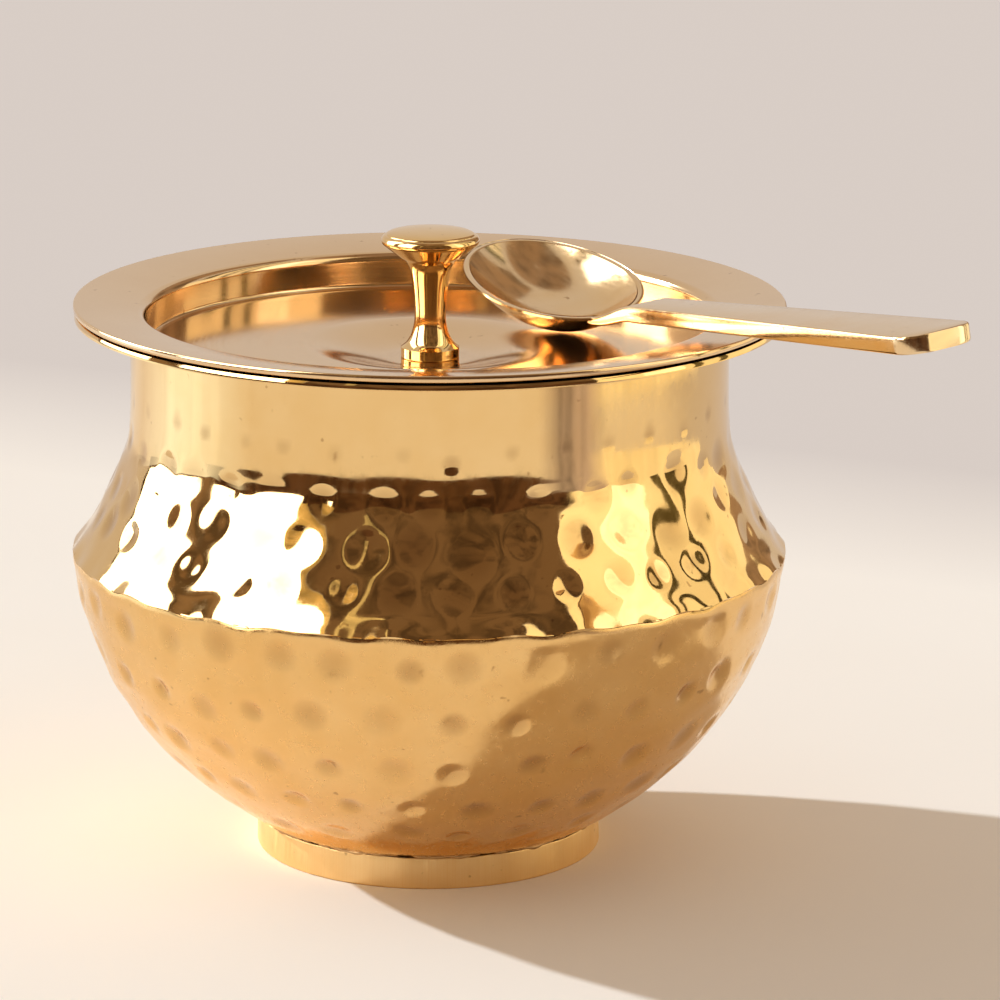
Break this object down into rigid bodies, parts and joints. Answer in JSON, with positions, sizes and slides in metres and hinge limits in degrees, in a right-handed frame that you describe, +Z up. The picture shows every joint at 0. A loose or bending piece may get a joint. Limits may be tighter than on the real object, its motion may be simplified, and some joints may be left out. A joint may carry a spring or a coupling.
{
  "type": "ghee pot",
  "caption": "Round-bellied brass pot on a low foot ring, with a flared rim, a dished lid with a turned knob and a long-handled spoon laid across the lid.",
  "frame": {"origin": "middle of the whole part's footprint, spoon included, on the surface that the pot stands on; the pot's own axis is 11.2 mm towards -X and 11.8 mm towards +Y of it", "axes": "+Z up along the pot's axis, -Y towards the viewer in the picture, +X to the viewer's right, where the spoon's handle points"},
  "size_m": [0.1438, 0.1448, 0.1075],
  "materials": {
    "pot_bowl": "hammered and polished",
    "pot_shoulder": "smooth neck, hammered shoulder, polished",
    "foot_ring": "brushed",
    "lid": "polished",
    "knob": "turned and polished",
    "knob_washer": "plain",
    "knob_screw": "plain",
    "spoon": "polished"
  },
  "bodies": {
    "pot": {"pot_bowl": "pot_bowl", "pot_shoulder": "pot_shoulder", "foot_ring": "foot_ring"},
    "lid": {"lid": "lid", "knob": "knob", "knob_washer": "knob_washer", "knob_screw": "knob_screw"},
    "spoon": {"spoon": "spoon"}
  },
  "joints": [
    {"name": "lid_lift", "type": "slide", "parent": "pot", "child": "lid", "axis": [0, 0, 1], "range_m": [0, 0.1]},
    {"name": "spoon_lift", "type": "slide", "parent": "lid", "child": "spoon", "axis": [0, 0, 1], "range_m": [0, 0.06]}
  ]
}
